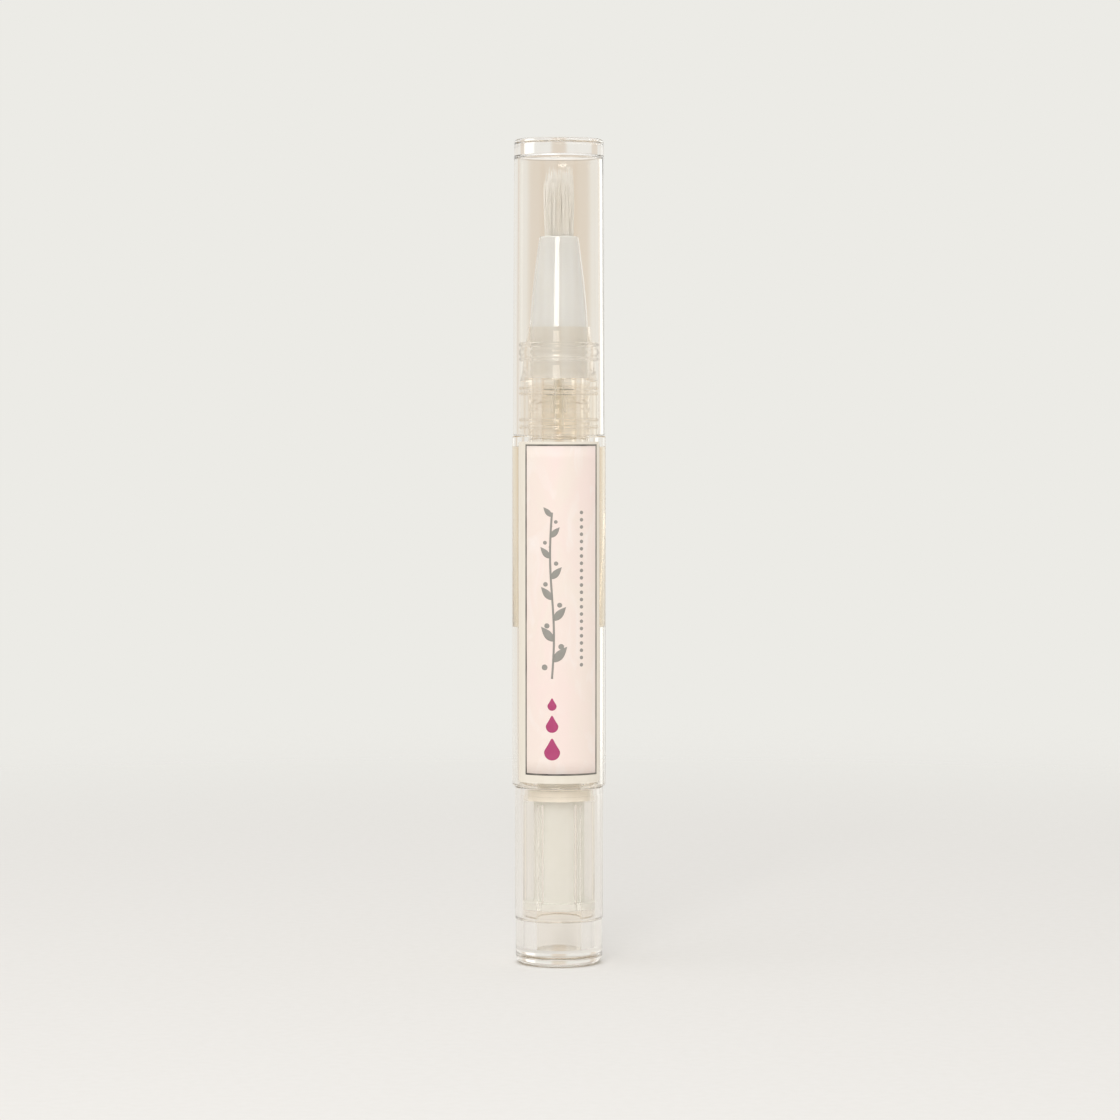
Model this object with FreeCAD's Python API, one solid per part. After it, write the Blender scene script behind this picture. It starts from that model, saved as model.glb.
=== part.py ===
import FreeCAD, Part
import math
import os

# Nail oil pen, in millimetres. It stands on its tail: +Z runs up the axis towards the cap, the origin is
# the centre of the tail's flat base, and the label faces -Y. Turning the knob turns the threaded rod in
# its fixed nut, and the rod pushes the piston, which feeds oil through the neck to the brush.

# Clear tubes that make the outside. The tail's bore is a share of the barrel's diameter.
barrel_diameter = 13.6
barrel_length = 51.0
barrel_wall = 1.0
barrel_rim_radius = 0.25
knob_length = 19.4
knob_wall = 1.15
knob_step = 0.35
knob_rim_radius = 0.2
tail_length = 6.5
tail_step = 0.1
tail_edge_radius = 1.2
tail_floor = 2.2
tail_spigot_length = 1.6
tail_bore_share = 0.485

# Cap, tapered towards its top
cap_wall = 0.7
cap_step = 0.1
cap_taper = 0.2
cap_top_thickness = 2.3
cap_headroom = 1.4
cap_top_radius = 0.5
cap_ceiling_radius = 0.6
cap_rim_radius = 0.12

# Barrel neck and the rings on it
shoulder_thickness = 1.5
neck_length = 7.8
neck_wall = 1.15
neck_ring_rise = 0.12
neck_ring_height = 0.5
neck_ring_shares = (0.165, 0.30, 0.79, 0.885)

# Collar: stem in the neck, flared flange with a ringed band on it, and a thin ring around the cone
flange_length = 5.8
flare_edge = 0.25
flare_depth = 0.45
flare_top_share = 0.52
band_inset = 0.05
band_ring_rise = 0.2
band_ring_shares = ((0.535, 0.605), (0.64, 0.845), (0.88, 0.985))
ring_length = 2.2
ring_wall = 0.3
ring_flare = 0.25
socket_depth = 7.6
stem_recess = 0.4
stem_barb_depth = 0.25
stem_barb_shares = ((0.06, 0.42), (0.494, 0.58), (0.64, 0.72))

# Oil feed. The plug's share is of the barrel's diameter.
plug_share = 0.368
plug_length = 4.9
plug_lift = 1.0
plug_hole_diameter = 0.9
tube_diameter = 1.5
tube_wall = 0.3
tube_grip = 2.0
tube_reach = 2.5

# Brush. The cone's two shares are of the barrel's diameter.
cone_reach = 13.15
cone_base_share = 0.625
cone_tip_share = 0.4155
cone_bulge = 0.16
cone_wall = 0.9
cone_tip_wall = 0.55
cone_tip_radius = 0.2
cone_grip = 6.05
root_flange = 0.55
root_flange_height = 0.8
root_hub_height = 1.5
root_bore_depth = 5.0
brush_reach = 10.35
brush_swell = 0.1
brush_tip_inset = 0.4
brush_tip_dome = 1.2

# Screw drive. The thread and the sleeve take shares of the barrel's diameter; the thread's depth and the
# width over the rod's flats are shares of the thread's diameter, and the rod's neck is one of its core's.
thread_share = 0.3235
thread_depth_share = 0.1365
thread_pitch = 2.0
thread_crest_width = 0.5
thread_root_width = 1.0
flat_width_share = 0.682
rod_foot_gap = 0.28
rod_neck_share = 0.5625
rod_head_height = 1.8
rod_head_chamfer = 0.4
key_grip = 2.0
nut_length = 6.5
nut_gap = 0.3
nut_waist_depth = 0.4
nut_band_length = 1.6
sleeve_wall_share = 0.0588
sleeve_shoulder_share = 0.044
sleeve_flange_height = 1.0
rib_count = 6
rib_width = 0.65
rib_height = 0.5
rib_gap = 0.3

# Piston
piston_length = 5.4
piston_lip_height = 1.1
piston_waist_depth = 0.5
piston_web = 1.1
piston_crown_chamfer = 0.4
chamber_rest = 0.6

# Knob bearing and its click ratchet, whose walls and teeth share the room between the sleeve and the bush
lip_length = 1.15
lip_depth = 0.15
bead_height = 0.65
bead_catch = 0.1
bush_wall = 0.9
bush_neck_wall = 0.4
bush_web = 1.5
ratchet_height = 1.5
ratchet_wall_share = 0.172
tooth_count = 12
tooth_height_share = 0.172
tooth_width_share = 0.66
pawl_height = 1.4
pawl_ring_wall_share = 0.207
pawl_count = 2
pawl_sweep = 75.0
pawl_root_sweep = 12.0
nose_width_share = 0.16
arm_inner_share = 0.25
arm_outer_share = 0.7

# Label film
label_arc_width = 14.0
label_thickness = 0.08
label_margin = 0.8

# Clearances: faces that rest on each other, pressed or snapped together, running, between moving faces,
# cap on neck, piston in bore, thread. The last value is how near an edge has to lie to its rim to be found.
seat_gap = 0.02
fit_gap = 0.03
run_gap = 0.12
face_gap = 0.1
cap_slip = 0.1
piston_gap = 0.05
thread_gap = 0.12
rim_match = 0.001

# Radii that follow from one another, from the barrel inwards
barrel_radius = barrel_diameter / 2
bore_radius = barrel_radius - barrel_wall
knob_radius = barrel_radius - knob_step
knob_bore_radius = knob_radius - knob_wall
tail_radius = knob_radius - tail_step
tail_bore_radius = tail_bore_share * barrel_diameter / 2
cap_mouth_radius = barrel_radius - cap_step
cap_crown_radius = cap_mouth_radius - cap_taper
neck_radius = cap_crown_radius - cap_wall - cap_slip
neck_bore_radius = neck_radius - neck_wall
plug_radius = plug_share * barrel_diameter / 2
stem_bore_radius = plug_radius + fit_gap
stem_radius = neck_bore_radius - fit_gap
cone_base_radius = cone_base_share * barrel_diameter / 2
cone_tip_outer_radius = cone_tip_share * barrel_diameter / 2
cone_tip_bore_radius = cone_tip_outer_radius - cone_tip_wall
brush_radius = cone_tip_bore_radius - fit_gap
tube_radius = tube_diameter / 2
thread_diameter = thread_share * barrel_diameter
thread_radius = thread_diameter / 2
thread_depth = thread_depth_share * thread_diameter
core_radius = thread_radius - thread_depth
flat_width = flat_width_share * thread_diameter
rod_neck_radius = rod_neck_share * core_radius
rod_bore_radius = thread_radius + run_gap
sleeve_neck_radius = rod_bore_radius + sleeve_wall_share * barrel_diameter
sleeve_radius = sleeve_neck_radius + sleeve_shoulder_share * barrel_diameter
lip_radius = knob_bore_radius - lip_depth
bush_radius = bore_radius - fit_gap
bush_neck_radius = lip_radius - run_gap
bush_bead_radius = lip_radius + bead_catch
recess_radius = bush_neck_radius - bush_neck_wall
ratchet_radius = recess_radius - fit_gap
pawl_bore_radius = sleeve_neck_radius + fit_gap
ratchet_room = ratchet_radius - pawl_bore_radius
tooth_root_radius = ratchet_radius - ratchet_wall_share * ratchet_room
tooth_tip_radius = tooth_root_radius - tooth_height_share * ratchet_room
pawl_ring_radius = pawl_bore_radius + pawl_ring_wall_share * ratchet_room

# Heights up the axis, from the tail to the cap
spigot_top = tail_length + tail_spigot_length
knob_foot = tail_length + seat_gap
sleeve_foot = spigot_top + seat_gap
knob_mouth = tail_length + knob_length
barrel_foot = knob_mouth + face_gap
barrel_shoulder = barrel_foot + barrel_length
chamber_top = barrel_shoulder - shoulder_thickness
stem_foot = chamber_top + stem_recess
neck_top = barrel_shoulder + neck_length
flange_top = neck_top + flange_length
collar_top = flange_top + ring_length
socket_floor = collar_top - socket_depth
cone_tip = collar_top + cone_reach
brush_seat = cone_tip - cone_grip
tuft_foot = brush_seat + root_hub_height
tube_top = tuft_foot + tube_reach
brush_tip = cone_tip + brush_reach
cap_mouth = barrel_shoulder + face_gap
cap_ceiling = brush_tip + cap_headroom
cap_top = cap_ceiling + cap_top_thickness
plug_foot = barrel_shoulder + plug_lift
plug_top = plug_foot + plug_length
lip_foot = knob_mouth - lip_length
bead_top = lip_foot - face_gap
bush_foot = bead_top - bead_height
groove_foot = bush_foot - 2 * face_gap
sleeve_shoulder = bush_foot - seat_gap
web_foot = bush_foot + ratchet_height + seat_gap
web_top = web_foot + bush_web

# The rod needs as much room below the nut as the piston has above it, so they share the length between them
rod_foot = sleeve_foot + rod_foot_gap
drive_stack = chamber_rest + piston_length + nut_gap + nut_length + nut_gap + key_grip
stroke = (chamber_top - rod_foot - drive_stack) / 2
piston_crown = chamber_top - chamber_rest - stroke
piston_foot = piston_crown - piston_length
nut_top = piston_foot - nut_gap
nut_foot = nut_top - nut_length
sleeve_top = nut_foot - nut_gap

ORIGIN = FreeCAD.Vector(0, 0, 0)
UP = FreeCAD.Vector(0, 0, 1)
FULL_TURN = 360.0


def on_plane(point):
    """Turn a (radius, height) pair into a point of the half plane that is revolved."""
    radius, height = point
    return FreeCAD.Vector(radius, 0, height)


def turned(start, *moves):
    """Revolve a closed (radius, height) outline. A move is an end point, or (through, end) for an arc."""
    edges = []
    here = start
    for move in moves + (start,):
        if isinstance(move[0], tuple):
            through, end = move
            edges.append(Part.Arc(on_plane(here), on_plane(through), on_plane(end)).toShape())
        else:
            end = move
            edges.append(Part.LineSegment(on_plane(here), on_plane(end)).toShape())
        here = end
    return Part.Face(Part.Wire(edges)).revolve(ORIGIN, UP, FULL_TURN)


def rounded(shape, fillet, *rims):
    """Fillet the circular edges that lie at the given (radius, height) rims."""
    edges = []
    for edge in shape.Edges:
        if not isinstance(edge.Curve, Part.Circle):
            continue
        here = on_plane((edge.Curve.Radius, edge.Curve.Center.z))
        if any(here.isEqual(on_plane(rim), rim_match) for rim in rims):
            edges.append(edge)
    return shape.makeFillet(fillet, edges)


def sector(inner, outer, foot, height, start_angle, sweep):
    """A slice of a tube, from start_angle round through sweep degrees."""
    place = FreeCAD.Vector(0, 0, foot)
    slice_ = Part.makeCylinder(outer, height, place, UP, sweep)
    slice_ = slice_.cut(Part.makeCylinder(inner, height, place, UP, FULL_TURN))
    slice_.rotate(ORIGIN, UP, start_angle)
    return slice_


def radial_bar(inner, outer, width, foot, height, angle):
    """A straight bar that runs outwards from the axis at an angle."""
    bar = Part.makeBox(outer - inner, width, height, FreeCAD.Vector(inner, -width / 2, foot))
    bar.rotate(ORIGIN, UP, angle)
    return bar


def rib_angles():
    """The directions of the knob's inner ribs, with a gap between two of them at the front."""
    step = FULL_TURN / rib_count
    return [index * step for index in range(rib_count)]


def ring_moves(radius, foot, top, rise):
    """Outline moves for one half-round ring that stands out from a radius."""
    return (radius, foot), ((radius + rise, (foot + top) / 2), (radius, top))


def thread_ridge(growth, foot, top):
    """The rod's helical ridge, grown by a clearance, from below foot to above top, in step with rod_foot."""
    root = core_radius - thread_depth / 2
    spread = (thread_root_width - thread_crest_width) / 4
    corners = [
        (root, -thread_root_width / 2 - spread - growth),
        (thread_radius + growth, -thread_crest_width / 2 - growth),
        (thread_radius + growth, thread_crest_width / 2 + growth),
        (root, thread_root_width / 2 + spread + growth),
    ]
    first = math.floor((foot - rod_foot) / thread_pitch) - 1
    last = math.ceil((top - rod_foot) / thread_pitch) + 1
    heights = [rod_foot + turn * thread_pitch for turn in range(first, last + 1)]
    faces = []
    for height in heights[:-1]:
        rails = []
        for radius, rise in corners:
            rail = Part.makeHelix(thread_pitch, thread_pitch, radius).Edges[0]
            rails.append(rail.translated(FreeCAD.Vector(0, 0, height + rise)))
        for low, high in zip(rails, rails[1:] + rails[:1]):
            faces.append(Part.makeRuledSurface(low, high))
    for height in (heights[0], heights[-1]):
        end = [on_plane((radius, height + rise)) for radius, rise in corners]
        faces.append(Part.Face(Part.makePolygon(end + end[:1])))
    shell = Part.Shell(faces)
    shell.sewShape()
    return Part.Solid(shell)


def flat_slab(growth, foot, top):
    """The slab between the rod's two flats, grown by a clearance and wider than the thread."""
    width = flat_width + 2 * growth
    reach = 2 * thread_diameter
    return Part.makeBox(reach, width, top - foot, FreeCAD.Vector(-reach / 2, -width / 2, foot))


def keyed_bar(growth, foot, top):
    """The rod's round outline with its two flats, grown by a clearance."""
    bar = Part.makeCylinder(thread_radius + growth, top - foot, FreeCAD.Vector(0, 0, foot), UP)
    return bar.common(flat_slab(growth, foot, top))


def make_cap():
    """Push-on cap: a tapered clear cup with a thick top."""
    mouth_bore = cap_mouth_radius - cap_wall
    crown_bore = cap_crown_radius - cap_wall
    cup = turned(
        (mouth_bore, cap_mouth),
        (cap_mouth_radius, cap_mouth),
        (cap_crown_radius, cap_top),
        (0, cap_top),
        (0, cap_ceiling),
        (crown_bore, cap_ceiling),
    )
    cup = rounded(cup, cap_top_radius, (cap_crown_radius, cap_top))
    cup = rounded(cup, cap_ceiling_radius, (crown_bore, cap_ceiling))
    return rounded(cup, cap_rim_radius, (cap_mouth_radius, cap_mouth), (mouth_bore, cap_mouth))


def make_barrel():
    """Clear tube with an inner shoulder and a ringed neck."""
    rings = []
    rim = neck_top - seat_gap
    for share in neck_ring_shares:
        middle = barrel_shoulder + share * neck_length
        rings += ring_moves(
            neck_radius, middle - neck_ring_height / 2, middle + neck_ring_height / 2, neck_ring_rise
        )
    tube = turned(
        (bore_radius, barrel_foot),
        (barrel_radius, barrel_foot),
        (barrel_radius, barrel_shoulder),
        (neck_radius, barrel_shoulder),
        *rings,
        (neck_radius, rim),
        (neck_bore_radius, rim),
        (neck_bore_radius, chamber_top),
        (bore_radius, chamber_top),
    )
    return rounded(tube, barrel_rim_radius, (barrel_radius, barrel_foot), (barrel_radius, barrel_shoulder))


def make_label():
    """Film wrapped round the front of the barrel."""
    sweep = math.degrees(label_arc_width / barrel_radius)
    height = barrel_length - 2 * label_margin
    front = -FULL_TURN / 4
    return sector(
        barrel_radius,
        barrel_radius + label_thickness,
        barrel_foot + label_margin,
        height,
        front - sweep / 2,
        sweep,
    )


def make_neck_collar():
    """Clear collar: barbed stem, flared flange with a ringed band, and a thin ring for the cone."""
    socket_radius = cone_base_radius + fit_gap
    ring_radius = socket_radius + ring_wall
    waist_radius = neck_radius - flare_depth
    band_radius = neck_radius - band_inset
    flare_foot = neck_top + flare_edge
    flare_top = neck_top + flare_top_share * flange_length
    flare_middle = (waist_radius + flare_depth / 4, (flare_foot + flare_top) / 2)
    ring_middle = (ring_radius + ring_flare / 4, flange_top + ring_length / 2)
    stem_relief = stem_radius - stem_barb_depth
    barbs = []
    for low_share, high_share in stem_barb_shares:
        low = stem_foot + low_share * (neck_top - stem_foot)
        high = stem_foot + high_share * (neck_top - stem_foot)
        barbs += (stem_relief, low), (stem_radius, high), (stem_relief, high)
    rings = []
    for low_share, high_share in band_ring_shares:
        low = neck_top + low_share * flange_length
        high = neck_top + high_share * flange_length
        rings += ring_moves(band_radius, low, high, band_ring_rise)
    return turned(
        (stem_bore_radius, stem_foot),
        (stem_relief, stem_foot),
        *barbs,
        (stem_radius, neck_top),
        (neck_radius, neck_top),
        (neck_radius, flare_foot),
        (flare_middle, (waist_radius, flare_top)),
        (band_radius, flare_top),
        *rings,
        (band_radius, flange_top),
        (ring_radius + ring_flare, flange_top),
        (ring_middle, (ring_radius, collar_top)),
        (socket_radius, collar_top),
        (socket_radius, socket_floor),
        (stem_bore_radius, socket_floor),
    )


def make_flow_plug():
    """Plug in the collar's stem, with a fine hole that meters the oil into the tube."""
    hole = plug_hole_diameter / 2
    seat = plug_top - tube_grip
    return turned(
        (hole, plug_foot),
        (plug_radius, plug_foot),
        (plug_radius, plug_top),
        (tube_radius + fit_gap, plug_top),
        (tube_radius + fit_gap, seat),
        (hole, seat),
    )


def make_feed_tube():
    """Fine tube from the plug up into the bristles."""
    foot = plug_top - tube_grip + seat_gap
    return turned(
        (tube_radius - tube_wall, foot),
        (tube_radius, foot),
        (tube_radius, tube_top),
        (tube_radius - tube_wall, tube_top),
    )


def make_brush_cone():
    """Frosted cone with a slightly bulging side. Its foot is in the collar and its tip grips the brush."""
    bore = cone_base_radius - cone_wall
    foot = socket_floor + seat_gap
    root_bore = brush_radius + root_flange + fit_gap
    root_bore_foot = brush_seat - root_bore_depth
    side_middle = (
        (cone_base_radius + cone_tip_outer_radius) / 2 + cone_bulge,
        (collar_top + cone_tip) / 2,
    )
    cone = turned(
        (bore, foot),
        (cone_base_radius, foot),
        (cone_base_radius, collar_top),
        (side_middle, (cone_tip_outer_radius, cone_tip)),
        (cone_tip_bore_radius, cone_tip),
        (cone_tip_bore_radius, brush_seat),
        (root_bore, brush_seat),
        (root_bore, root_bore_foot),
        (bore, root_bore_foot),
    )
    return rounded(cone, cone_tip_radius, (cone_tip_outer_radius, cone_tip))


def make_brush_root():
    """Fused root of the bristles: a hub with a flange that stops under the cone's step."""
    hole = tube_radius + fit_gap
    seat = brush_seat - seat_gap
    return turned(
        (hole, seat - root_flange_height),
        (brush_radius + root_flange, seat - root_flange_height),
        (brush_radius + root_flange, seat),
        (brush_radius, seat),
        (brush_radius, tuft_foot),
        (hole, tuft_foot),
    )


def make_brush_tuft():
    """The bundle of bristles as one body, swelling a little outside the cone and blunt at its tip."""
    hole = tube_radius + fit_gap
    tip_radius = brush_radius - brush_tip_inset
    swell_top = brush_tip - brush_tip_dome
    swell = (brush_radius + brush_swell, (cone_tip + swell_top) / 2)
    dome_radius = (tip_radius**2 + brush_tip_dome**2) / (2 * brush_tip_dome)
    half_angle = math.asin(tip_radius / dome_radius) / 2
    dome = (dome_radius * math.sin(half_angle), brush_tip - dome_radius * (1 - math.cos(half_angle)))
    return turned(
        (hole, tuft_foot),
        (brush_radius, tuft_foot),
        (brush_radius, cone_tip),
        (swell, (tip_radius, swell_top)),
        (dome, (0, brush_tip)),
        (0, tube_top + fit_gap),
        (hole, tube_top + fit_gap),
    )


def make_oil_charge():
    """The oil above the piston."""
    foot = piston_crown + fit_gap
    top = chamber_top - fit_gap
    return turned(
        (0, foot),
        (bore_radius - fit_gap, foot),
        (bore_radius - fit_gap, top),
        (0, top),
    )


def make_piston():
    """Two-lipped piston with a snap socket for the rod's head."""
    radius = bore_radius - piston_gap
    waist = radius - piston_waist_depth
    neck_hole = rod_neck_radius + run_gap
    head_hole = core_radius + run_gap
    socket_foot = piston_foot + piston_web
    socket_top = socket_foot + rod_head_height + 2 * face_gap
    lower_lip = piston_foot + piston_lip_height
    upper_lip = piston_crown - piston_crown_chamfer - piston_lip_height
    return turned(
        (neck_hole, piston_foot),
        (radius, piston_foot),
        (radius, lower_lip),
        (waist, lower_lip + piston_waist_depth),
        (waist, upper_lip - piston_waist_depth),
        (radius, upper_lip),
        (radius, piston_crown - piston_crown_chamfer),
        (radius - piston_crown_chamfer, piston_crown),
        (0, piston_crown),
        (0, socket_top),
        (head_hole, socket_top),
        (head_hole, socket_foot),
        (neck_hole, socket_foot),
    )


def make_screw_rod():
    """Threaded rod with two flats, and a head as thick as its core that snaps into the piston."""
    body_top = piston_foot - face_gap
    head_foot = piston_foot + piston_web + face_gap
    head_top = head_foot + rod_head_height
    core = turned((0, rod_foot), (core_radius, rod_foot), (core_radius, body_top), (0, body_top))
    threaded = core.fuse(thread_ridge(0, rod_foot, body_top)).common(flat_slab(0, rod_foot, body_top))
    stalk = turned(
        (0, body_top - face_gap),
        (rod_neck_radius, body_top - face_gap),
        (rod_neck_radius, head_foot),
        (core_radius, head_foot),
        (core_radius, head_top - rod_head_chamfer),
        (core_radius - rod_head_chamfer, head_top),
        (0, head_top),
    )
    return threaded.fuse(stalk).removeSplitter()


def make_lead_nut():
    """Fixed nut in the barrel, with the rod's thread cut through it."""
    radius = bore_radius - fit_gap
    waist = radius - nut_waist_depth
    hole = core_radius + thread_gap
    body = turned(
        (hole, nut_foot),
        (radius, nut_foot),
        (radius, nut_foot + nut_band_length),
        (waist, nut_foot + nut_band_length + nut_waist_depth),
        (waist, nut_top - nut_band_length - nut_waist_depth),
        (radius, nut_top - nut_band_length),
        (radius, nut_top),
        (hole, nut_top),
    )
    return body.cut(thread_ridge(thread_gap, nut_foot, nut_top))


def make_end_bush():
    """Bush in the barrel's foot: a tube that carries the nut, a bearing web and a beaded neck."""
    bearing = sleeve_neck_radius + run_gap
    tube_bore = bush_radius - bush_wall
    tube_top = nut_foot - seat_gap
    return turned(
        (recess_radius, bush_foot),
        (bush_bead_radius, bush_foot),
        (bush_bead_radius, bead_top),
        (bush_neck_radius, bead_top),
        (bush_neck_radius, barrel_foot),
        (bush_radius, barrel_foot),
        (bush_radius, tube_top),
        (tube_bore, tube_top),
        (tube_bore, web_top),
        (bearing, web_top),
        (bearing, web_foot),
        (recess_radius, web_foot),
    )


def make_ratchet_ring():
    """Ring of saw teeth under the bush's web. Their ramps let the knob turn one way only."""
    pitch = FULL_TURN / tooth_count
    anchor = (tooth_root_radius + ratchet_radius) / 2
    tip = tooth_tip_radius
    ring = sector(tooth_root_radius, ratchet_radius, bush_foot, ratchet_height, 0, FULL_TURN)
    for index in range(tooth_count):
        start = math.radians(index * pitch)
        end = math.radians((index + tooth_width_share) * pitch)
        corners = [
            FreeCAD.Vector(anchor * math.cos(start), anchor * math.sin(start), bush_foot),
            FreeCAD.Vector(tip * math.cos(end), tip * math.sin(end), bush_foot),
            FreeCAD.Vector(anchor * math.cos(end), anchor * math.sin(end), bush_foot),
        ]
        tooth = Part.Face(Part.makePolygon(corners + corners[:1]))
        ring = ring.fuse(tooth.extrude(FreeCAD.Vector(0, 0, ratchet_height)))
    return ring.removeSplitter()


def make_pawl_ring():
    """Ring on the drive sleeve with two springy arms, whose noses rest between the teeth."""
    room = tooth_tip_radius - pawl_ring_radius
    arm_inner = pawl_ring_radius + arm_inner_share * room
    arm_outer = pawl_ring_radius + arm_outer_share * room
    heel_inner = (pawl_bore_radius + pawl_ring_radius) / 2
    nose = tooth_root_radius - fit_gap
    pitch = FULL_TURN / tooth_count
    nose_sweep = nose_width_share * pitch
    nose_middle = (1 + tooth_width_share) / 2 * pitch
    ring = sector(pawl_bore_radius, pawl_ring_radius, bush_foot, pawl_height, 0, FULL_TURN)
    for index in range(pawl_count):
        end = nose_middle + nose_sweep / 2 + index * FULL_TURN / pawl_count
        start = end - pawl_sweep
        arm = sector(arm_inner, arm_outer, bush_foot, pawl_height, start, pawl_sweep)
        heel = sector(heel_inner, arm_outer, bush_foot, pawl_height, start, pawl_root_sweep)
        tip = sector(arm_inner, nose, bush_foot, pawl_height, end - nose_sweep, nose_sweep)
        ring = ring.fuse([arm, heel, tip])
    return ring.removeSplitter()


def make_drive_sleeve():
    """Sleeve that turns with the knob and slides along the rod's flats."""
    flange_radius = knob_bore_radius - fit_gap
    flange_top = sleeve_foot + sleeve_flange_height
    sleeve = turned(
        (0, sleeve_foot),
        (flange_radius, sleeve_foot),
        (flange_radius, flange_top),
        (sleeve_radius, flange_top),
        (sleeve_radius, sleeve_shoulder),
        (sleeve_neck_radius, sleeve_shoulder),
        (sleeve_neck_radius, sleeve_top),
        (0, sleeve_top),
    )
    sleeve = sleeve.cut(keyed_bar(run_gap, sleeve_foot, sleeve_top))
    slot_foot = knob_bore_radius - rib_height - fit_gap
    slot_width = rib_width + 2 * fit_gap
    for angle in rib_angles():
        slot = radial_bar(slot_foot, knob_radius, slot_width, sleeve_foot, sleeve_flange_height, angle)
        sleeve = sleeve.cut(slot)
    return sleeve


def make_knob():
    """Clear twist knob: a tube with ribs inside and a lip that snaps behind the bush's bead."""
    groove_radius = bush_bead_radius + run_gap
    knob = turned(
        (knob_bore_radius, knob_foot),
        (knob_radius, knob_foot),
        (knob_radius, knob_mouth),
        (lip_radius, knob_mouth),
        (lip_radius, lip_foot),
        (groove_radius, lip_foot),
        (groove_radius, groove_foot),
        (knob_bore_radius, groove_foot),
    )
    knob = rounded(knob, knob_rim_radius, (knob_radius, knob_foot), (knob_radius, knob_mouth))
    rib_foot = spigot_top + fit_gap
    rib_length = groove_foot - rib_gap - rib_foot
    rib_inner = knob_bore_radius - rib_height
    rib_outer = knob_bore_radius + knob_wall / 2
    for angle in rib_angles():
        knob = knob.fuse(radial_bar(rib_inner, rib_outer, rib_width, rib_foot, rib_length, angle))
    return knob.removeSplitter()


def make_tail_plug():
    """Clear plug that closes the tail, hollow from inside as moulded plugs are."""
    plug = turned(
        (0, 0),
        (tail_radius, 0),
        (tail_radius, tail_length),
        (knob_bore_radius - fit_gap, tail_length),
        (knob_bore_radius - fit_gap, spigot_top),
        (tail_bore_radius, spigot_top),
        (tail_bore_radius, tail_floor),
        (0, tail_floor),
    )
    return rounded(plug, tail_edge_radius, (tail_radius, 0))


nodes = {
    "cap": make_cap,
    "barrel": make_barrel,
    "label": make_label,
    "neck_collar": make_neck_collar,
    "flow_plug": make_flow_plug,
    "feed_tube": make_feed_tube,
    "brush_cone": make_brush_cone,
    "brush_root": make_brush_root,
    "brush_tuft": make_brush_tuft,
    "oil_charge": make_oil_charge,
    "piston": make_piston,
    "screw_rod": make_screw_rod,
    "lead_nut": make_lead_nut,
    "end_bush": make_end_bush,
    "ratchet_ring": make_ratchet_ring,
    "pawl_ring": make_pawl_ring,
    "drive_sleeve": make_drive_sleeve,
    "knob": make_knob,
    "tail_plug": make_tail_plug,
}

os.makedirs("parts", exist_ok=True)
for name, make in nodes.items():
    make().exportStep(f"parts/{name}.step")
print(f"stroke {stroke:.3f} mm, {stroke / thread_pitch:.3f} turns, overall length {cap_top:.3f} mm")
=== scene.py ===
import math
import random

import bpy
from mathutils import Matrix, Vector


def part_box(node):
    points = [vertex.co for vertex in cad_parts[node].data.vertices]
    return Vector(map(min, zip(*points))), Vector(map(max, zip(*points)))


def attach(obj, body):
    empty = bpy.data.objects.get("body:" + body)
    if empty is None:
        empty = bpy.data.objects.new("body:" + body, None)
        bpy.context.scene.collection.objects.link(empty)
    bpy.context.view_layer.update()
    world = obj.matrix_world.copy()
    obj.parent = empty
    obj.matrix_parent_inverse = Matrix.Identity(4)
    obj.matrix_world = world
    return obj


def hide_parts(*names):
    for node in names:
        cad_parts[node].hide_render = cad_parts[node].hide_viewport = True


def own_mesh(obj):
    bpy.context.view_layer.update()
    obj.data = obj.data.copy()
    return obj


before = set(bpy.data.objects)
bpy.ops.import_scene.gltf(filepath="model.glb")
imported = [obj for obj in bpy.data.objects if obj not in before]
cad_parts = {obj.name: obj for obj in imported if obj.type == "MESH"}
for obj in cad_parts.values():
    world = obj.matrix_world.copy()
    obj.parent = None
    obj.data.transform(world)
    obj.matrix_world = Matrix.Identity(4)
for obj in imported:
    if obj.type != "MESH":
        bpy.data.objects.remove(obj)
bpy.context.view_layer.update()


# Barrel. The clear tube that holds the oil, with a ringed neck for the cap and the collar.
# It is moulded in SAN, a clear styrene copolymer with a faint warm cast, in a polished tool.

MM = 0.001


def linear(hex_colour):
    """The linear RGBA value of an sRGB colour such as #F6F1EA."""
    channels = []
    for start in (1, 3, 5):
        value = int(hex_colour[start : start + 2], 16) / 255
        channels.append(value / 12.92 if value <= 0.04045 else ((value + 0.055) / 1.055) ** 2.4)
    return (*channels, 1.0)


def add_node(tree, kind, settings=None, links=None):
    """Add a node. Settings are its fields or its inputs' values, and links are sockets for its inputs."""
    node = tree.nodes.new(kind)
    for name, value in (settings or {}).items():
        if isinstance(name, int) or name in node.inputs:
            node.inputs[name].default_value = value
        else:
            setattr(node, name, value)
    for name, socket in (links or {}).items():
        tree.links.new(socket, node.inputs[name])
    return node


def start_material(name):
    """A new material with an empty node tree."""
    material = bpy.data.materials.new(name)
    material.use_nodes = True
    material.node_tree.nodes.clear()
    return material, material.node_tree


def dress(material, *nodes):
    """Give CAD nodes a material."""
    for name in nodes:
        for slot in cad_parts[name].material_slots:
            slot.material = material


# Clear SAN from a polished mould: glassy, with the slow waves that shrinkage leaves in a moulded wall,
# a trace of haze from handling, and a warm cast that gathers where walls lie one behind another.
SAN_CLEAREST = "#FEFCFA"
SAN_WARMEST = "#FBF8F2"
SAN_IOR = 1.57
SAN_GLOSSIEST = 0.01
SAN_HAZIEST = 0.05
SHRINK_WAVE_LENGTH = 6 * MM
SHRINK_WAVE_HEIGHT = 0.004 * MM
HANDLING_HAZE_SIZE = 9 * MM

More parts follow.
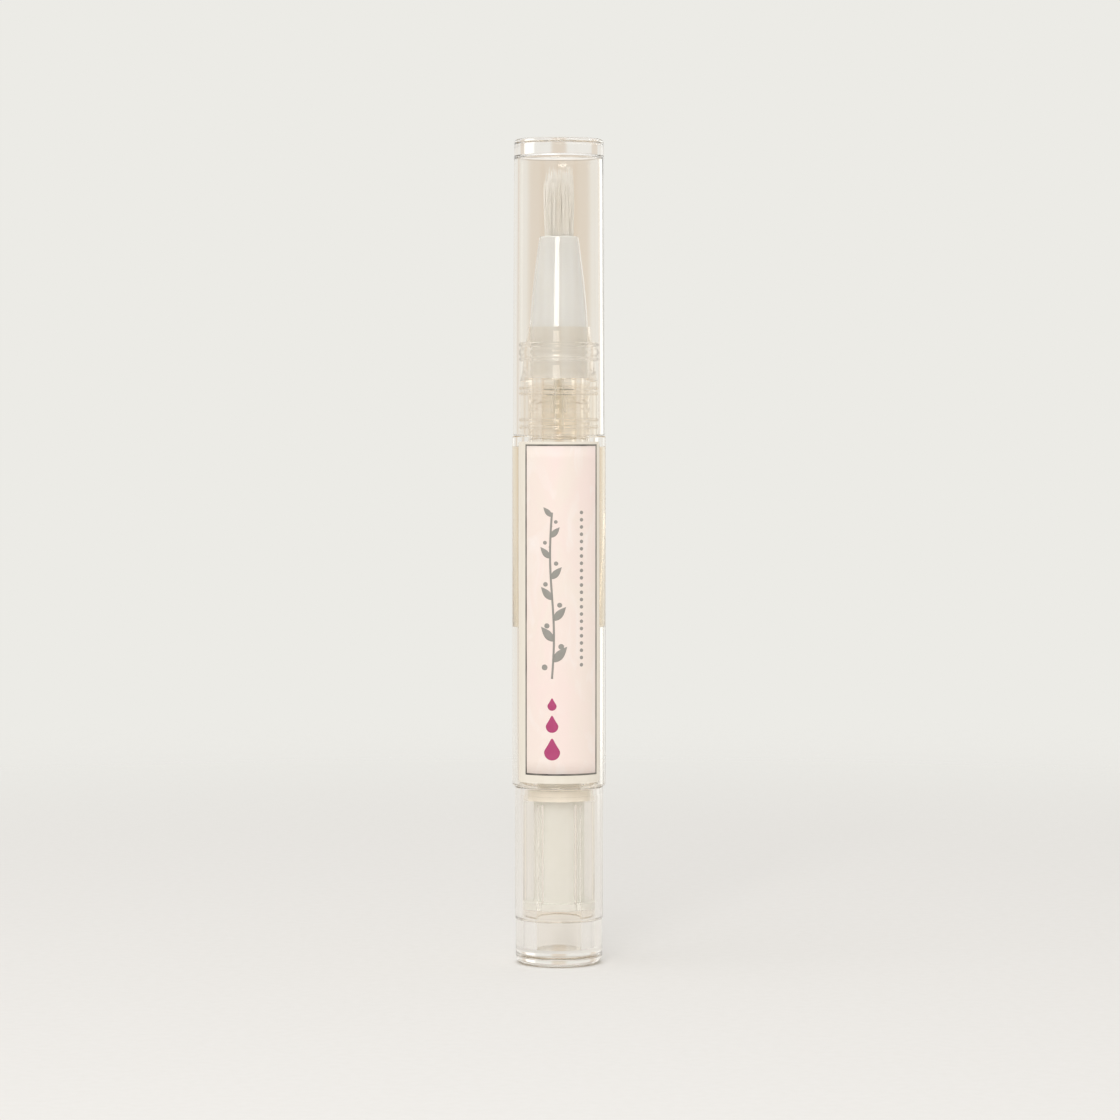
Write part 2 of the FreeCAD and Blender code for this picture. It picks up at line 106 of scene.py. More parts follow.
clear_san, tree = start_material("SAN_clear_polished_mould")
place = add_node(tree, "ShaderNodeTexCoord").outputs["Object"]
waves = add_node(
    tree, "ShaderNodeTexNoise", {"Scale": 1 / SHRINK_WAVE_LENGTH, "Detail": 1.0}, {"Vector": place}
).outputs["Fac"]
haze = add_node(
    tree, "ShaderNodeTexNoise", {"Scale": 1 / HANDLING_HAZE_SIZE, "Detail": 3.0}, {"Vector": place}
).outputs["Fac"]
cast = add_node(
    tree,
    "ShaderNodeMix",
    {"data_type": "RGBA", 6: linear(SAN_CLEAREST), 7: linear(SAN_WARMEST)},
    {0: haze},
).outputs[2]
gloss = add_node(
    tree,
    "ShaderNodeMapRange",
    {"From Min": 0.35, "From Max": 0.7, "To Min": SAN_GLOSSIEST, "To Max": SAN_HAZIEST},
    {"Value": haze},
).outputs["Result"]
relief = add_node(
    tree, "ShaderNodeBump", {"Distance": SHRINK_WAVE_HEIGHT}, {"Height": waves}
).outputs["Normal"]
surface = add_node(
    tree,
    "ShaderNodeBsdfPrincipled",
    {"Transmission Weight": 1.0, "IOR": SAN_IOR},
    {"Base Color": cast, "Roughness": gloss, "Normal": relief},
)
add_node(tree, "ShaderNodeOutputMaterial", links={"Surface": surface.outputs["BSDF"]})

dress(clear_san, "barrel")


# Neck collar and end bush. The collar's barbed stem is pressed into the neck and its socket holds the cone;
# the bush closes the barrel's foot and carries the nut. Both are moulded in the barrel's SAN.

dress(clear_san, "neck_collar", "end_bush")


# Flow plug, feed tube, piston, screw rod and drive sleeve. The plug and tube meter oil to the brush, the
# piston pushes the oil, and the sleeve turns the rod that drives the piston. All are natural polyethylene,
# moulded, or drawn for the tube.

# Natural polyethylene: in a thick wall it is a milky, waxy white with a low sheen. In a thin wall it is
# nearly clear, with a faint haze.
THICK_PE_PALEST = "#EBEBE8"
THICK_PE_WAXIEST = "#E3E3DD"
THICK_PE_CLARITY = 0.0
THICK_PE_SMOOTHEST = 0.3
THICK_PE_ROUGHEST = 0.42
THIN_PE_PALEST = "#FDFDFB"
THIN_PE_WAXIEST = "#F8F7F3"
THIN_PE_CLARITY = 0.92
THIN_PE_SMOOTHEST = 0.06
THIN_PE_ROUGHEST = 0.14
PE_IOR = 1.51
PE_CLOUD_SIZE = 3 * MM

natural_pe = {}
for pe_name, palest, waxiest, clarity, smoothest, roughest in (
    (
        "polyethylene_natural_waxy",
        THICK_PE_PALEST,
        THICK_PE_WAXIEST,
        THICK_PE_CLARITY,
        THICK_PE_SMOOTHEST,
        THICK_PE_ROUGHEST,
    ),
    (
        "polyethylene_natural_thin_wall",
        THIN_PE_PALEST,
        THIN_PE_WAXIEST,
        THIN_PE_CLARITY,
        THIN_PE_SMOOTHEST,
        THIN_PE_ROUGHEST,
    ),
):
    natural_pe[pe_name], tree = start_material(pe_name)
    place = add_node(tree, "ShaderNodeTexCoord").outputs["Object"]
    cloud = add_node(
        tree, "ShaderNodeTexNoise", {"Scale": 1 / PE_CLOUD_SIZE, "Detail": 4.0}, {"Vector": place}
    ).outputs["Fac"]
    milk = add_node(
        tree,
        "ShaderNodeMix",
        {"data_type": "RGBA", 6: linear(palest), 7: linear(waxiest)},
        {0: cloud},
    ).outputs[2]
    gloss = add_node(
        tree,
        "ShaderNodeMapRange",
        {"From Min": 0.3, "From Max": 0.7, "To Min": smoothest, "To Max": roughest},
        {"Value": cloud},
    ).outputs["Result"]
    surface = add_node(
        tree,
        "ShaderNodeBsdfPrincipled",
        {"Transmission Weight": clarity, "IOR": PE_IOR},
        {"Base Color": milk, "Roughness": gloss},
    )
    add_node(tree, "ShaderNodeOutputMaterial", links={"Surface": surface.outputs["BSDF"]})

dress(natural_pe["polyethylene_natural_waxy"], "piston", "screw_rod", "drive_sleeve")
dress(natural_pe["polyethylene_natural_thin_wall"], "flow_plug", "feed_tube")


# Lead nut, ratchet ring and pawl ring. The parts of the twist drive that rub and click against others.
# They are moulded in acetal, a hard white plastic with a slippery skin.

# White acetal: dense ivory white with a low even sheen and a faint mottle from the mould.
ACETAL_WHITEST = "#F6F4EF"
ACETAL_DULLEST = "#ECE9E2"
ACETAL_IOR = 1.48
ACETAL_SMOOTHEST = 0.28
ACETAL_ROUGHEST = 0.4
ACETAL_MOTTLE_SIZE = 1.2 * MM
ACETAL_MOTTLE_HEIGHT = 0.004 * MM

white_acetal, tree = start_material("acetal_white_moulded")
place = add_node(tree, "ShaderNodeTexCoord").outputs["Object"]
mottle = add_node(
    tree, "ShaderNodeTexNoise", {"Scale": 1 / ACETAL_MOTTLE_SIZE, "Detail": 3.0}, {"Vector": place}
).outputs["Fac"]
white = add_node(
    tree,
    "ShaderNodeMix",
    {"data_type": "RGBA", 6: linear(ACETAL_WHITEST), 7: linear(ACETAL_DULLEST)},
    {0: mottle},
).outputs[2]
gloss = add_node(
    tree,
    "ShaderNodeMapRange",
    {"From Min": 0.3, "From Max": 0.7, "To Min": ACETAL_SMOOTHEST, "To Max": ACETAL_ROUGHEST},
    {"Value": mottle},
).outputs["Result"]
relief = add_node(
    tree, "ShaderNodeBump", {"Distance": ACETAL_MOTTLE_HEIGHT}, {"Height": mottle}
).outputs["Normal"]
surface = add_node(
    tree,
    "ShaderNodeBsdfPrincipled",
    {"IOR": ACETAL_IOR},
    {"Base Color": white, "Roughness": gloss, "Normal": relief},
)
add_node(tree, "ShaderNodeOutputMaterial", links={"Surface": surface.outputs["BSDF"]})

dress(white_acetal, "lead_nut", "ratchet_ring", "pawl_ring")


# Knob and tail plug. The twist knob is a ribbed clear tube, and the thick plug pressed into it closes
# the tail. Both are moulded in the barrel's SAN.

dress(clear_san, "knob", "tail_plug")


# Brush cone. It stands in the collar and grips the bristles at its tip, as a ferrule does on a paint brush.
# It is moulded in white-tinted polypropylene with a smooth skin.

# Milky polypropylene: cool pale grey-white, a clear glossy skin over a soft body, and a faint cloudy depth.
CONE_PALEST = "#E4E6E7"
CONE_GREYEST = "#DCDEDF"
CONE_CLOUD_SIZE = 5 * MM
CONE_LIGHT_DEPTH = 0.8 * MM
CONE_SMOOTHEST = 0.1
CONE_ROUGHEST = 0.16

milky_pp, tree = start_material("polypropylene_milky_gloss")
place = add_node(tree, "ShaderNodeTexCoord").outputs["Object"]
cloud = add_node(
    tree, "ShaderNodeTexNoise", {"Scale": 1 / CONE_CLOUD_SIZE, "Detail": 3.0}, {"Vector": place}
).outputs["Fac"]
milk = add_node(
    tree,
    "ShaderNodeMix",
    {"data_type": "RGBA", 6: linear(CONE_PALEST), 7: linear(CONE_GREYEST)},
    {0: cloud},
).outputs[2]
gloss = add_node(
    tree,
    "ShaderNodeMapRange",
    {"From Min": 0.3, "From Max": 0.7, "To Min": CONE_SMOOTHEST, "To Max": CONE_ROUGHEST},
    {"Value": cloud},
).outputs["Result"]
surface = add_node(
    tree,
    "ShaderNodeBsdfPrincipled",
    {
        "IOR": 1.5,
        "Subsurface Weight": 0.6,
        "Subsurface Scale": CONE_LIGHT_DEPTH,
        "Subsurface Radius": (1.0, 1.0, 0.95),
        "Coat Weight": 1.0,
        "Coat IOR": 1.9,
        "Coat Roughness": 0.04,
    },
    {"Base Color": milk, "Roughness": gloss},
)
add_node(tree, "ShaderNodeOutputMaterial", links={"Surface": surface.outputs["BSDF"]})

dress(milky_pp, "brush_cone")


# Brush. Some hundreds of fine bristles, fused at their root under the cone's step and cut unevenly at
# the tip. They are drawn nylon, pale and a little clumped at their ends.

BRISTLE_COUNT = 380
BRISTLE_SEED = 11
BRISTLE_RADIUS = 0.055 * MM
BRISTLE_SIDES = 6
BRISTLE_RINGS = 11
BUNDLE_RADIUS = 2.06 * MM
BUNDLE_SWELL = 0.08 * MM
TIP_DROP = 2.2 * MM
TIP_ROUNDING = 0.5 * MM
WANDER = 0.12 * MM
TAPER_SHARE = 0.25
TIP_THICKNESS_SHARE = 0.2
CUT_SPREAD_SHARE = 0.4
CLUMP_COUNT = 13
CLUMP_TURN = 0.3
CLUMP_LOWEST_SHARE = -0.8
CLUMP_HIGHEST_SHARE = 0.2
CLUMP_PULL_SHARE = 0.3
CLUMP_START_SHARE = 0.55
CLUMP_CURVE = 1.5
GOLDEN_ANGLE = math.pi * (3 - math.sqrt(5))

# Drawn nylon filament: pale and faintly warm, shiny along its length, and lit through a little.
NYLON_PALEST = "#FFFEFC"
NYLON_WARMEST = "#FDFBF6"
NYLON_TINT_LENGTH = 2 * MM

nylon, tree = start_material("nylon_drawn_filament")
place = add_node(tree, "ShaderNodeTexCoord").outputs["Object"]
tint = add_node(
    tree, "ShaderNodeTexNoise", {"Scale": 1 / NYLON_TINT_LENGTH, "Detail": 2.0}, {"Vector": place}
).outputs["Fac"]
pale = add_node(
    tree,
    "ShaderNodeMix",
    {"data_type": "RGBA", 6: linear(NYLON_PALEST), 7: linear(NYLON_WARMEST)},
    {0: tint},
).outputs[2]
surface = add_node(
    tree,
    "ShaderNodeBsdfPrincipled",
    {"Roughness": 0.2, "IOR": 1.53, "Transmission Weight": 0.08},
    {"Base Color": pale},
)
add_node(tree, "ShaderNodeOutputMaterial", links={"Surface": surface.outputs["BSDF"]})


def mesh_piece(name, vertices, faces, material):
    """A smooth mesh object in the scene, made from its points and faces."""
    mesh = bpy.data.meshes.new(name)
    mesh.from_pydata(vertices, [], faces)
    mesh.polygons.foreach_set("use_smooth", [True] * len(faces))
    mesh.materials.append(material)
    mesh.update()
    piece = bpy.data.objects.new(name, mesh)
    bpy.context.scene.collection.objects.link(piece)
    return piece


root_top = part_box("brush_root")[1].z
tube_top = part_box("feed_tube")[1].z
tube_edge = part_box("feed_tube")[1].x
cone_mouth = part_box("brush_cone")[1].z
brush_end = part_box("brush_tuft")[1].z

draw = random.Random(BRISTLE_SEED)
clumps = []
for index in range(CLUMP_COUNT):
    angle = index * GOLDEN_ANGLE + draw.uniform(-CLUMP_TURN, CLUMP_TURN)
    reach = BUNDLE_RADIUS * math.sqrt((index + 0.5) / CLUMP_COUNT)
    rise = draw.uniform(CLUMP_LOWEST_SHARE, CLUMP_HIGHEST_SHARE) * TIP_DROP
    clumps.append(Vector((reach * math.cos(angle), reach * math.sin(angle), rise)))

vertices = []
faces = []
for index in range(BRISTLE_COUNT):
    angle = index * GOLDEN_ANGLE
    reach = BUNDLE_RADIUS * math.sqrt((index + 0.5) / BRISTLE_COUNT)
    seat = Vector((reach * math.cos(angle), reach * math.sin(angle), 0))
    foot = root_top if reach > tube_edge + BRISTLE_RADIUS else tube_top
    clump = min(clumps, key=lambda centre: (centre.xy - seat.xy).length)
    cut = abs(draw.gauss(0, CUT_SPREAD_SHARE)) * TIP_DROP
    height = brush_end - TIP_ROUNDING * (reach / BUNDLE_RADIUS) ** 2 - cut
    height = min(height + clump.z, brush_end - BRISTLE_RADIUS)
    drift = Vector((draw.gauss(0, WANDER), draw.gauss(0, WANDER), 0))
    for ring in range(BRISTLE_RINGS):
        along = ring / (BRISTLE_RINGS - 1)
        level = foot + along * (height - foot)
        free = max(0.0, (level - cone_mouth) / (brush_end - cone_mouth))
        pull = max(0.0, (free - CLUMP_START_SHARE) / (1 - CLUMP_START_SHARE)) ** CLUMP_CURVE
        middle = seat * (1 + BUNDLE_SWELL / BUNDLE_RADIUS * math.sin(math.pi * min(1.0, free)))
        middle = middle + drift * free
        middle = middle.lerp(Vector((clump.x, clump.y, 0)), CLUMP_PULL_SHARE * pull)
        thin = min(1.0, (1 - along) / TAPER_SHARE)
        radius = BRISTLE_RADIUS * (TIP_THICKNESS_SHARE + (1 - TIP_THICKNESS_SHARE) * math.sqrt(thin))
        for side in range(BRISTLE_SIDES):
            turn = 2 * math.pi * side / BRISTLE_SIDES
            vertices.append((middle.x + radius * math.cos(turn), middle.y + radius * math.sin(turn), level))
    first = index * BRISTLE_RINGS * BRISTLE_SIDES
    for ring in range(BRISTLE_RINGS - 1):
        for side in range(BRISTLE_SIDES):
            corner = first + ring * BRISTLE_SIDES + side
            beside = first + ring * BRISTLE_SIDES + (side + 1) % BRISTLE_SIDES
            faces.append((corner, beside, beside + BRISTLE_SIDES, corner + BRISTLE_SIDES))
    last = first + (BRISTLE_RINGS - 1) * BRISTLE_SIDES
    faces.append(tuple(range(first + BRISTLE_SIDES - 1, first - 1, -1)))
    faces.append(tuple(range(last, last + BRISTLE_SIDES)))

bristles = mesh_piece("bristles", vertices, faces, nylon)
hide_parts("brush_tuft")
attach(bristles, "barrel")

dress(nylon, "brush_root")


# Oil. The charge that fills the barrel between the piston and the shoulder, and wets the wall all round.
# A light nut oil, clear and pale straw, drawn at its rest length and carried with the barrel.

OIL_STEPS = 128
FILL_GAP = 0.03 * MM
WALL_OVERLAP = 0.02 * MM
OIL_EDGE = 0.1 * MM
OIL_FOOT_ROUNDING = 0.4 * MM
RIM_ANGLE = math.radians(20)

# Pale nut oil: clear, with the colour showing only through its depth, and a few threads of slow mixing.
OIL_PALEST = "#FFFBF2"
OIL_GOLDEN = "#FDF6E6"
OIL_THREAD_SIZE = 7 * MM

nut_oil, tree = start_material("nut_oil_pale_straw")
place = add_node(tree, "ShaderNodeTexCoord").outputs["Object"]
threads = add_node(
    tree,
    "ShaderNodeTexNoise",
    {"Scale": 1 / OIL_THREAD_SIZE, "Detail": 2.0, "Distortion": 1.5},
    {"Vector": place},
).outputs["Fac"]
straw = add_node(
    tree,
    "ShaderNodeMix",
    {"data_type": "RGBA", 6: linear(OIL_PALEST), 7: linear(OIL_GOLDEN)},
    {0: threads},
).outputs[2]
surface = add_node(
    tree,
    "ShaderNodeBsdfPrincipled",
    {"Roughness": 0.0, "IOR": 1.47, "Transmission Weight": 1.0},
    {"Base Color": straw},
)
add_node(tree, "ShaderNodeOutputMaterial", links={"Surface": surface.outputs["BSDF"]})

# The solid charge stands a hair clear of the barrel's wall. The mesh goes a little into the wall instead, so
# that no film of air shows between them.
oil_low, oil_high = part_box("oil_charge")
oil_radius = oil_high.x + FILL_GAP + WALL_OVERLAP
oil_foot = oil_low.z - FILL_GAP - WALL_OVERLAP / 2
oil_top = oil_high.z + FILL_GAP + WALL_OVERLAP
outline = [
    (oil_radius - OIL_FOOT_ROUNDING, oil_foot),
    (oil_radius - OIL_EDGE, oil_foot + OIL_EDGE),
    (oil_radius, oil_foot + OIL_FOOT_ROUNDING),
    (oil_radius, oil_top - OIL_EDGE),
    (oil_radius - OIL_EDGE, oil_top),
]
vertices = []
faces = []
for radius, level in outline:
    for step in range(OIL_STEPS):
        turn = 2 * math.pi * step / OIL_STEPS
        vertices.append((radius * math.cos(turn), radius * math.sin(turn), level))
for ring in range(len(outline) - 1):
    for step in range(OIL_STEPS):
        corner = ring * OIL_STEPS + step
        beside = ring * OIL_STEPS + (step + 1) % OIL_STEPS
        faces.append((corner, beside, beside + OIL_STEPS, corner + OIL_STEPS))
faces.append(tuple(range(OIL_STEPS - 1, -1, -1)))
top_ring = (len(outline) - 1) * OIL_STEPS
faces.append(tuple(range(top_ring, top_ring + OIL_STEPS)))

oil = mesh_piece("oil", vertices, faces, nut_oil)
oil.data.set_sharp_from_angle(angle=RIM_ANGLE)
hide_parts("oil_charge")
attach(oil, "barrel")
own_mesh(oil)


# Label. A printed film stuck round the front of the barrel, with a margin, a dark frame line and a blush
# panel. The film is satin polypropylene, and its print is screen ink some thousandths of a millimetre thick.

FILM_SINK = 0.03 * MM
FILM_PROUD = 0.055 * MM
LAYER_STEP = 0.007 * MM
INK_THICKNESS = 0.006 * MM
ARC_STEP = math.radians(1.0)
FILM_THICKNESS = 0.08 * MM
FILM_CORNER = 0.5 * MM
FILM_COLUMNS = 60
CORNER_ROWS = 6
ROW_STEP = 2 * MM

# The film lies a little lower than the solid label, so that its ink stays within the solid's thickness.
barrel_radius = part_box("barrel")[1].x
label_low, label_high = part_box("label")
film_half_angle = math.asin(label_high.x / (barrel_radius + FILM_THICKNESS))
panel_radius = barrel_radius + FILM_PROUD + LAYER_STEP
ink_radius = barrel_radius + FILM_PROUD + 2 * LAYER_STEP


def label_point(arc, height, radius):
    """The point of the label at an arc length to the right of its middle, a height and a radius."""
    angle = arc / barrel_radius
    return (radius * math.sin(angle), -radius * math.cos(angle), height)


def film_piece(name, patches, radius, thickness, material):
    """A film made of patches, each a list of equally long rows of (arc, height), thickened inwards."""
    vertices = []
    faces = []
    for rows in patches:
        first = len(vertices)
        width = len(rows[0])
        for row in rows:
            vertices.extend(label_point(arc, height, radius) for arc, height in row)
        for row in range(len(rows) - 1):
            for column in range(width - 1):
                corner = first + row * width + column
                faces.append((corner, corner + 1, corner + 1 + width, corner + width))
    piece = mesh_piece(name, vertices, faces, material)
    solid = piece.modifiers.new("film_thickness", "SOLIDIFY")
    solid.thickness = thickness
    solid.offset = -1
    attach(piece, "barrel")
    return piece


def spread(low, high, step):
    """Evenly spaced values from low to high, no further apart than step."""
    count = max(1, math.ceil((high - low) / step))
    return [low + (high - low) * index / count for index in range(count + 1)]


# Satin label film: cream white, softly glossy, with faint warmer draw lines along its length.
FILM_CREAM = "#F4EEE3"
FILM_WARM = "#EBE3D4"
DRAW_LINE_WIDTH = 0.9 * MM
DRAW_LINE_SQUEEZE = 0.08

satin_film, tree = start_material("label_film_satin")
place = add_node(tree, "ShaderNodeTexCoord").outputs["Object"]
lengthwise = add_node(
    tree, "ShaderNodeMapping", {"Scale": (1.0, 1.0, DRAW_LINE_SQUEEZE)}, {"Vector": place}
).outputs["Vector"]
draw_lines = add_node(
    tree, "ShaderNodeTexNoise", {"Scale": 1 / DRAW_LINE_WIDTH, "Detail": 2.0}, {"Vector": lengthwise}
).outputs["Fac"]
cream = add_node(
    tree,
    "ShaderNodeMix",
    {"data_type": "RGBA", 6: linear(FILM_CREAM), 7: linear(FILM_WARM)},
    {0: draw_lines},
).outputs[2]
surface = add_node(
    tree, "ShaderNodeBsdfPrincipled", {"Roughness": 0.36, "IOR": 1.49}, {"Base Color": cream}
)
add_node(tree, "ShaderNodeOutputMaterial", links={"Surface": surface.outputs["BSDF"]})

film_half_width = film_half_angle * barrel_radius
corner_turns = [math.pi / 2 * row / CORNER_ROWS for row in range(CORNER_ROWS + 1)]
corner_levels = [FILM_CORNER * (1 - math.cos(turn)) for turn in corner_turns]
levels = [label_low.z + level for level in corner_levels]
levels += spread(label_low.z + FILM_CORNER, label_high.z - FILM_CORNER, ROW_STEP)[1:-1]
levels += [label_high.z - level for level in reversed(corner_levels)]
rows = []
for level in levels:
    inset = max(0.0, FILM_CORNER - min(level - label_low.z, label_high.z - level))
    half = film_half_width - FILM_CORNER + math.sqrt(max(0.0, FILM_CORNER**2 - inset**2))
    rows.append([(half * column / FILM_COLUMNS, level) for column in range(-FILM_COLUMNS, FILM_COLUMNS + 1)])
label_film = film_piece("label_film", [rows], barrel_radius + FILM_PROUD, FILM_PROUD + FILM_SINK, satin_film)
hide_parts("label")

# Blush wash: a thin watery pink with warm and pale blooms, printed as a flat tint on the satin film.
BLUSH_PINK = "#FBE8E2"
BLUSH_WARM = "#F8EBE1"
BLUSH_PALE = "#FCF2ED"
BLOOM_SIZE = 7 * MM
BLOOM_SQUEEZE = 0.45
BLOOM_EDGE_SIZE = 3 * MM

blush_ink, tree = start_material("ink_blush_wash")
place = add_node(tree, "ShaderNodeTexCoord").outputs["Object"]
lengthwise = add_node(
    tree, "ShaderNodeMapping", {"Scale": (1.0, 1.0, BLOOM_SQUEEZE)}, {"Vector": place}
).outputs["Vector"]
blooms = add_node(
    tree,
    "ShaderNodeTexNoise",
    {"Scale": 1 / BLOOM_SIZE, "Detail": 4.0, "Distortion": 0.8},
    {"Vector": lengthwise},
).outputs["Fac"]
paler = add_node(
    tree,
    "ShaderNodeTexNoise",
    {"Scale": 1 / BLOOM_EDGE_SIZE, "Detail": 5.0, "Distortion": 1.2},
    {"Vector": lengthwise},
).outputs["Fac"]
bloom_share = add_node(
    tree, "ShaderNodeMapRange", {"From Min": 0.38, "From Max": 0.62}, {"Value": blooms}
).outputs["Result"]
pale_share = add_node(
    tree, "ShaderNodeMapRange", {"From Min": 0.52, "From Max": 0.75, "To Max": 0.8}, {"Value": paler}
).outputs["Result"]
wash = add_node(
    tree,
    "ShaderNodeMix",
    {"data_type": "RGBA", 6: linear(BLUSH_PINK), 7: linear(BLUSH_WARM)},
    {0: bloom_share},
).outputs[2]
wash = add_node(
    tree, "ShaderNodeMix", {"data_type": "RGBA", 7: linear(BLUSH_PALE)}, {0: pale_share, 6: wash}
).outputs[2]
surface = add_node(
    tree, "ShaderNodeBsdfPrincipled", {"Roughness": 0.42, "IOR": 1.49}, {"Base Color": wash}
)
add_node(tree, "ShaderNodeOutputMaterial", links={"Surface": surface.outputs["BSDF"]})

PANEL_ARC = 0.45 * MM
PANEL_HALF_WIDTH = 5.65 * MM
PANEL_FOOT = 28.1 * MM
PANEL_TOP = 75.7 * MM
panel_arcs = spread(PANEL_ARC - PANEL_HALF_WIDTH, PANEL_ARC + PANEL_HALF_WIDTH, ARC_STEP * barrel_radius)
rows = [[(arc, level) for arc in panel_arcs] for level in spread(PANEL_FOOT, PANEL_TOP, ROW_STEP)]
film_piece("label_blush_panel", [rows], panel_radius, INK_THICKNESS, blush_ink)

# Charcoal ink of the frame line: near black where it lies thick, grey where it lies thin along its length.
CHARCOAL_THICK = "#272624"
CHARCOAL_THIN = "#807C73"
CHARCOAL_PATCH_LENGTH = 3.5 * MM

charcoal_ink, tree = start_material("ink_charcoal_line")
place = add_node(tree, "ShaderNodeTexCoord").outputs["Object"]
cover = add_node(
    tree, "ShaderNodeTexNoise", {"Scale": 1 / CHARCOAL_PATCH_LENGTH, "Detail": 3.0}, {"Vector": place}
).outputs["Fac"]
cover = add_node(
    tree, "ShaderNodeMapRange", {"From Min": 0.35, "From Max": 0.65}, {"Value": cover}
).outputs["Result"]
charcoal = add_node(
    tree,
    "ShaderNodeMix",
    {"data_type": "RGBA", 6: linear(CHARCOAL_THICK), 7: linear(CHARCOAL_THIN)},
    {0: cover},
).outputs[2]
surface = add_node(
    tree, "ShaderNodeBsdfPrincipled", {"Roughness": 0.3, "IOR": 1.5}, {"Base Color": charcoal}
)
add_node(tree, "ShaderNodeOutputMaterial", links={"Surface": surface.outputs["BSDF"]})

LINE_WIDTH = 0.24 * MM
LINE_STEP = 1 * MM
patches = []
for side in (-1, 1):
    inner = PANEL_ARC + side * (PANEL_HALF_WIDTH - LINE_WIDTH / 2)
    outer = PANEL_ARC + side * (PANEL_HALF_WIDTH + LINE_WIDTH / 2)
    edges = sorted((inner, outer))
    levels = spread(PANEL_FOOT + LINE_WIDTH / 2, PANEL_TOP - LINE_WIDTH / 2, LINE_STEP)
    patches.append([[(arc, level) for arc in edges] for level in levels])
frame_half = PANEL_HALF_WIDTH + LINE_WIDTH / 2
frame_arcs = spread(PANEL_ARC - frame_half, PANEL_ARC + frame_half, ARC_STEP * barrel_radius)
for middle in (PANEL_FOOT, PANEL_TOP):
    levels = (middle - LINE_WIDTH / 2, middle + LINE_WIDTH / 2)
    patches.append([[(arc, level) for arc in frame_arcs] for level in levels])
film_piece("label_frame_line", patches, ink_radius, INK_THICKNESS, charcoal_ink)

# Grey and magenta inks of the ornament: flat screen ink, a little uneven, on the blush.
GREY_INK = "#95938D"
GREY_INK_THIN = "#A4A19A"
MAGENTA_INK = "#B0386E"
MAGENTA_INK_THIN = "#BD4C7E"
INK_GRAIN_SIZE = 0.8 * MM

inks = {}
for ink_name, thick, thin in (
    ("ink_grey_ornament", GREY_INK, GREY_INK_THIN),
    ("ink_magenta_ornament", MAGENTA_INK, MAGENTA_INK_THIN),
):
    inks[ink_name], tree = start_material(ink_name)
    place = add_node(tree, "ShaderNodeTexCoord").outputs["Object"]
    grain = add_node(
        tree, "ShaderNodeTexNoise", {"Scale": 1 / INK_GRAIN_SIZE, "Detail": 3.0}, {"Vector": place}
    ).outputs["Fac"]
    colour = add_node(
        tree, "ShaderNodeMix", {"data_type": "RGBA", 6: linear(thick), 7: linear(thin)}, {0: grain}
    ).outputs[2]
    surface = add_node(
        tree, "ShaderNodeBsdfPrincipled", {"Roughness": 0.4, "IOR": 1.5}, {"Base Color": colour}
    )
    add_node(tree, "ShaderNodeOutputMaterial", links={"Surface": surface.outputs["BSDF"]})

PEN_POINT = 0.01 * MM
COLUMN_WIDTH = 0.2 * MM
LEAF_BELLY = 0.8


def ribbon(line, halves):
    """Rows across a line of (arc, height) points, each as wide to both sides as its half width."""
    columns = math.ceil(max(halves) / COLUMN_WIDTH)
    shares = [column / columns for column in range(-columns, columns + 1)]
    rows = []
    for index, (arc, level) in enumerate(line):
        before = line[max(0, index - 1)]
        after = line[min(len(line) - 1, index + 1)]
        along = Vector((after[0] - before[0], after[1] - before[1])).normalized()
        across = Vector((along.y, -along.x)) * halves[index]
        rows.append([(arc + across.x * share, level + across.y * share) for share in shares])
    return rows


def leaf(foot, lean, length, width, points=12):
    """A pointed leaf that grows from its foot at a lean from upright, positive to the right."""
    shares = [point / points for point in range(points + 1)]
    reach = length * math.sin(lean)
    rise = length * math.cos(lean)
    line = [(foot[0] + reach * share, foot[1] + rise * share) for share in shares]
    return ribbon(line, [PEN_POINT + width / 2 * math.sin(math.pi * share**LEAF_BELLY) for share in shares])


def dot(centre, radius, points=14):
    """A round dot."""
    turns = [math.pi * point / points for point in range(points + 1)]
    line = [(centre[0], centre[1] - radius * math.cos(turn)) for turn in turns]
    return ribbon(line, [PEN_POINT + radius * math.sin(turn) for turn in turns])


SPRIG_ARC = -1.0 * MM
SPRIG_FOOT = 42 * MM
SPRIG_TOP = 66 * MM
STEM_WIDTH = 0.3 * MM
STEM_SWAY = 0.28 * MM
STEM_STEP = 0.5 * MM
LEAF_PAIRS = 8
LEAF_LENGTH = 3.0 * MM
LEAF_WIDTH = 1.25 * MM
LEAF_LEAN = math.radians(42)
LEAF_START_SHARE = 0.8
LEAF_SHRINK_SHARE = 0.45
BERRY_DROP_SHARE = 0.5
BERRY_RADIUS = 0.42 * MM
BERRY_REACH = 1.15 * MM
BERRY_RISE = 0.75 * MM
STALK_WIDTH = 0.14 * MM


def stem_arc(level):
    """Where the sprig's stem is at a height."""
    return SPRIG_ARC + STEM_SWAY * math.sin(2 * math.pi * (level - SPRIG_FOOT) / (SPRIG_TOP - SPRIG_FOOT))


